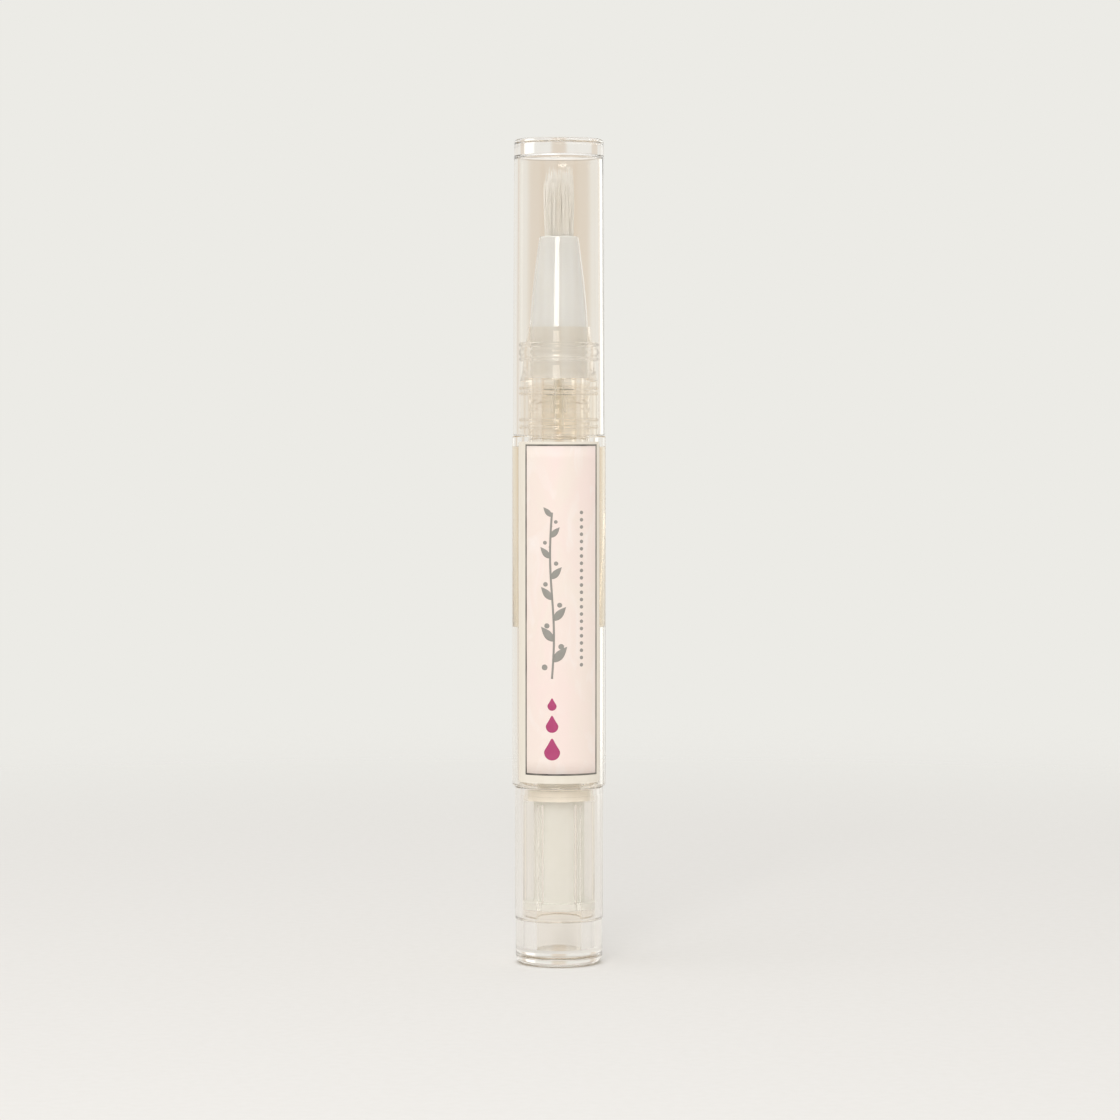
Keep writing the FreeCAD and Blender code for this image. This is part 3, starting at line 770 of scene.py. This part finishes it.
leaf_pitch = (SPRIG_TOP - SPRIG_FOOT) / LEAF_PAIRS
levels = spread(SPRIG_FOOT, SPRIG_TOP, STEM_STEP)
patches = [ribbon([(stem_arc(level), level) for level in levels], [STEM_WIDTH / 2] * len(levels))]
for pair in range(LEAF_PAIRS):
    level = SPRIG_FOOT + (pair + LEAF_START_SHARE) * leaf_pitch
    size = 1 - LEAF_SHRINK_SHARE * pair / LEAF_PAIRS
    side = 1 if pair % 2 == 0 else -1
    patches.append(leaf((stem_arc(level), level), side * LEAF_LEAN, LEAF_LENGTH * size, LEAF_WIDTH * size))
    level -= BERRY_DROP_SHARE * leaf_pitch
    stalk_foot = (stem_arc(level), level)
    berry = (stem_arc(level) - side * BERRY_REACH * size, level + BERRY_RISE)
    patches.append(dot(berry, BERRY_RADIUS * size))
    patches.append(ribbon([stalk_foot, berry], [STALK_WIDTH / 2] * 2))
film_piece("label_sprig", patches, ink_radius, INK_THICKNESS, inks["ink_grey_ornament"])

RULE_ARC = 3.35 * MM
RULE_FOOT = 44 * MM
RULE_TOP = 66 * MM
RULE_DOT_RADIUS = 0.26 * MM
RULE_DOT_PITCH = 1.1 * MM
levels = spread(RULE_FOOT, RULE_TOP, RULE_DOT_PITCH)
patches = [dot((RULE_ARC, level), RULE_DOT_RADIUS) for level in levels]
film_piece("label_dotted_rule", patches, ink_radius, INK_THICKNESS, inks["ink_grey_ornament"])

DROP_SIZES = ((30.2 * MM, 1.15 * MM), (34.2 * MM, 0.9 * MM), (37.4 * MM, 0.65 * MM))
DROP_POINTS = 20
DROP_STRETCH = 0.75
DROP_NARROWING = 0.45
patches = []
for level, radius in DROP_SIZES:
    line = []
    halves = []
    for point in range(DROP_POINTS + 1):
        turn = math.pi * point / DROP_POINTS
        rise = -math.cos(turn)
        stretch = 1 + DROP_STRETCH * max(0.0, rise) ** 3
        narrow = 1 - DROP_NARROWING * max(0.0, rise) ** 2
        line.append((SPRIG_ARC, level + radius + radius * rise * stretch))
        halves.append(PEN_POINT + radius * math.sin(turn) * narrow)
    patches.append(ribbon(line, halves))
film_piece("label_drops", patches, ink_radius, INK_THICKNESS, inks["ink_magenta_ornament"])


# Cap. A tapered clear cup with a thick top that pushes on over the neck's rings and covers the brush.
# It is moulded in the barrel's SAN, with a thinner wall.

dress(clear_san, "cap")


# Studio. A sheet of pale paper under the pen and a light tent round it, of eight cream panels with warm
# seams, a bright window behind to the right, shaded eaves and a white roof. A strip lamp stands high in
# front to the left, and a soft lamp hangs overhead. None of it belongs to the pen.

BACKDROP = "#ECEBE6"
DIFFUSE_SHARE = 0.9
TENT_PANELS = 8
TENT_CREAM = "#EDECE8"
TENT_SEAM = "#E0D6C9"
SEAM_START = 0.3
SEAM_FULL = 0.85
TENT_WINDOW = (1.3, 1.3, 1.25, 1.0)
WINDOW_AZIMUTH = math.radians(34)
WINDOW_START = 0.985
WINDOW_FULL = 0.997
TENT_ROOF = "#FFFFFF"
ROOF_START = 0.25
ROOF_FULL = 0.6
TENT_EAVES = "#BBB2A5"
EAVES_HEIGHT = 0.33
EAVES_START = 0.08
EAVES_FULL = 0.03

world = bpy.data.worlds.new("light_tent")
world.use_nodes = True
tree = world.node_tree
tree.nodes.clear()
direction = add_node(tree, "ShaderNodeTexCoord").outputs["Generated"]
heading = add_node(tree, "ShaderNodeSeparateXYZ", links={"Vector": direction})
azimuth = add_node(
    tree, "ShaderNodeMath", {"operation": "ARCTAN2"}, {0: heading.outputs["X"], 1: heading.outputs["Y"]}
).outputs["Value"]
seam_turn = add_node(
    tree, "ShaderNodeMath", {"operation": "MULTIPLY", 1: TENT_PANELS}, {0: azimuth}
).outputs["Value"]
seam_wave = add_node(tree, "ShaderNodeMath", {"operation": "COSINE"}, {0: seam_turn}).outputs["Value"]
seam_share = add_node(
    tree,
    "ShaderNodeMapRange",
    {"interpolation_type": "SMOOTHSTEP", "From Min": SEAM_START, "From Max": SEAM_FULL},
    {"Value": seam_wave},
).outputs["Result"]
window_turn = add_node(
    tree, "ShaderNodeMath", {"operation": "SUBTRACT", 1: WINDOW_AZIMUTH}, {0: azimuth}
).outputs["Value"]
window_wave = add_node(tree, "ShaderNodeMath", {"operation": "COSINE"}, {0: window_turn}).outputs["Value"]
window_share = add_node(
    tree,
    "ShaderNodeMapRange",
    {"interpolation_type": "SMOOTHSTEP", "From Min": WINDOW_START, "From Max": WINDOW_FULL},
    {"Value": window_wave},
).outputs["Result"]
roof_share = add_node(
    tree,
    "ShaderNodeMapRange",
    {"interpolation_type": "SMOOTHSTEP", "From Min": ROOF_START, "From Max": ROOF_FULL},
    {"Value": heading.outputs["Z"]},
).outputs["Result"]
tent = add_node(
    tree,
    "ShaderNodeMix",
    {"data_type": "RGBA", 6: linear(TENT_CREAM), 7: linear(TENT_SEAM)},
    {0: seam_share},
).outputs[2]
tent = add_node(
    tree, "ShaderNodeMix", {"data_type": "RGBA", 7: TENT_WINDOW}, {0: window_share, 6: tent}
).outputs[2]
tent = add_node(
    tree, "ShaderNodeMix", {"data_type": "RGBA", 7: linear(TENT_ROOF)}, {0: roof_share, 6: tent}
).outputs[2]
eaves_rise = add_node(
    tree, "ShaderNodeMath", {"operation": "SUBTRACT", 1: EAVES_HEIGHT}, {0: heading.outputs["Z"]}
).outputs["Value"]
eaves_rise = add_node(tree, "ShaderNodeMath", {"operation": "ABSOLUTE"}, {0: eaves_rise}).outputs["Value"]
eaves_share = add_node(
    tree,
    "ShaderNodeMapRange",
    {"interpolation_type": "SMOOTHSTEP", "From Min": EAVES_START, "From Max": EAVES_FULL},
    {"Value": eaves_rise},
).outputs["Result"]
tent = add_node(
    tree, "ShaderNodeMix", {"data_type": "RGBA", 7: linear(TENT_EAVES)}, {0: eaves_share, 6: tent}
).outputs[2]
light_path = add_node(tree, "ShaderNodeLightPath")
seen = add_node(
    tree,
    "ShaderNodeMix",
    {"data_type": "RGBA", 7: linear(BACKDROP)},
    {0: light_path.outputs["Is Camera Ray"], 6: tent},
).outputs[2]
strength = add_node(
    tree,
    "ShaderNodeMapRange",
    {"To Min": 1.0, "To Max": DIFFUSE_SHARE},
    {"Value": light_path.outputs["Is Diffuse Ray"]},
).outputs["Result"]
glow = add_node(tree, "ShaderNodeBackground", links={"Color": seen, "Strength": strength})
add_node(tree, "ShaderNodeOutputWorld", links={"Surface": glow.outputs["Background"]})
bpy.context.scene.world = world

# Pale paper: fine fibres in a faint mottle. Away from the pen it thins out into the tent's own glow.
PAPER = "#E9E7E4"
PAPER_FIBRE = "#E4E2DE"
PAPER_FIBRE_SIZE = 1.5 * MM
PAPER_FADE_START = 0.10
PAPER_FADE_END = 0.45

paper, tree = start_material("paper_pale_uncoated")
place = add_node(tree, "ShaderNodeTexCoord").outputs["Object"]
fibre = add_node(
    tree, "ShaderNodeTexNoise", {"Scale": 1 / PAPER_FIBRE_SIZE, "Detail": 4.0}, {"Vector": place}
).outputs["Fac"]
tone = add_node(
    tree, "ShaderNodeMix", {"data_type": "RGBA", 6: linear(PAPER), 7: linear(PAPER_FIBRE)}, {0: fibre}
).outputs[2]
away = add_node(tree, "ShaderNodeVectorMath", {"operation": "LENGTH"}, {0: place}).outputs["Value"]
fade = add_node(
    tree,
    "ShaderNodeMapRange",
    {"interpolation_type": "SMOOTHSTEP", "From Min": PAPER_FADE_START, "From Max": PAPER_FADE_END},
    {"Value": away},
).outputs["Result"]
sheet = add_node(tree, "ShaderNodeBsdfDiffuse", links={"Color": tone})
beyond = add_node(tree, "ShaderNodeBsdfTransparent")
blended = add_node(
    tree, "ShaderNodeMixShader", links={0: fade, 1: sheet.outputs["BSDF"], 2: beyond.outputs["BSDF"]}
)
add_node(tree, "ShaderNodeOutputMaterial", links={"Surface": blended.outputs["Shader"]})

FLOOR_RADIUS = 0.7
FLOOR_DROP = 0.05 * MM
FLOOR_STEPS = 96
rim = [2 * math.pi * step / FLOOR_STEPS for step in range(FLOOR_STEPS)]
floor = mesh_piece(
    "paper_floor",
    [(FLOOR_RADIUS * math.cos(turn), FLOOR_RADIUS * math.sin(turn), -FLOOR_DROP) for turn in rim],
    [tuple(range(FLOOR_STEPS))],
    paper,
)

LAMP_AIM = Vector((0, 0, 0.065))
STRIP_PLACE = Vector((-0.10, -0.62, 0.36))
STRIP_WIDTH = 0.25
STRIP_HEIGHT = 0.36
STRIP_RADIANCE = 3.8
TOP_PLACE = Vector((-0.22, -0.16, 0.75))
TOP_SIDE = 0.45
TOP_RADIANCE = 1.1

for lamp_name, spot, width, height, radiance in (
    ("strip_lamp", STRIP_PLACE, STRIP_WIDTH, STRIP_HEIGHT, STRIP_RADIANCE),
    ("top_lamp", TOP_PLACE, TOP_SIDE, TOP_SIDE, TOP_RADIANCE),
):
    lamp = bpy.data.lights.new(lamp_name, "AREA")
    lamp.shape = "RECTANGLE"
    lamp.size = width
    lamp.size_y = height
    lamp.energy = radiance * math.pi * width * height
    lamp_object = bpy.data.objects.new(lamp_name, lamp)
    lamp_object.location = spot
    lamp_object.rotation_mode = "QUATERNION"
    lamp_object.rotation_quaternion = (LAMP_AIM - spot).to_track_quat("-Z", "Y")
    lamp_object.visible_camera = False
    bpy.context.scene.collection.objects.link(lamp_object)

CAMERA_PLACE = Vector((0.00015, -0.5430, 0.0803))
CAMERA_AIM = Vector((0.00015, 0, 0.0589))
FRAME_HALF_ANGLE = math.radians(8.55)
SENSOR_WIDTH = 36
NEAR_LIMIT = 0.01

camera = bpy.data.cameras.new("camera")
camera.sensor_width = SENSOR_WIDTH
camera.lens = SENSOR_WIDTH / 2 / math.tan(FRAME_HALF_ANGLE)
camera.clip_start = NEAR_LIMIT
camera_object = bpy.data.objects.new("camera", camera)
camera_object.location = CAMERA_PLACE
camera_object.rotation_mode = "QUATERNION"
camera_object.rotation_quaternion = (CAMERA_AIM - CAMERA_PLACE).to_track_quat("-Z", "Y")
bpy.context.scene.collection.objects.link(camera_object)
bpy.context.scene.camera = camera_object

# Light has to cross many clear walls to reach the pieces inside, so it may bounce often and isn't blurred.
CLEAR_BOUNCES = 64
SURE_BOUNCES = 32
MATT_BOUNCES = 16

scene = bpy.context.scene
scene.view_settings.view_transform = "Standard"
scene.cycles.use_denoising = True
scene.cycles.blur_glossy = 0.0
scene.cycles.min_light_bounces = SURE_BOUNCES
scene.cycles.max_bounces = CLEAR_BOUNCES
scene.cycles.transmission_bounces = CLEAR_BOUNCES
scene.cycles.glossy_bounces = CLEAR_BOUNCES
scene.cycles.diffuse_bounces = MATT_BOUNCES
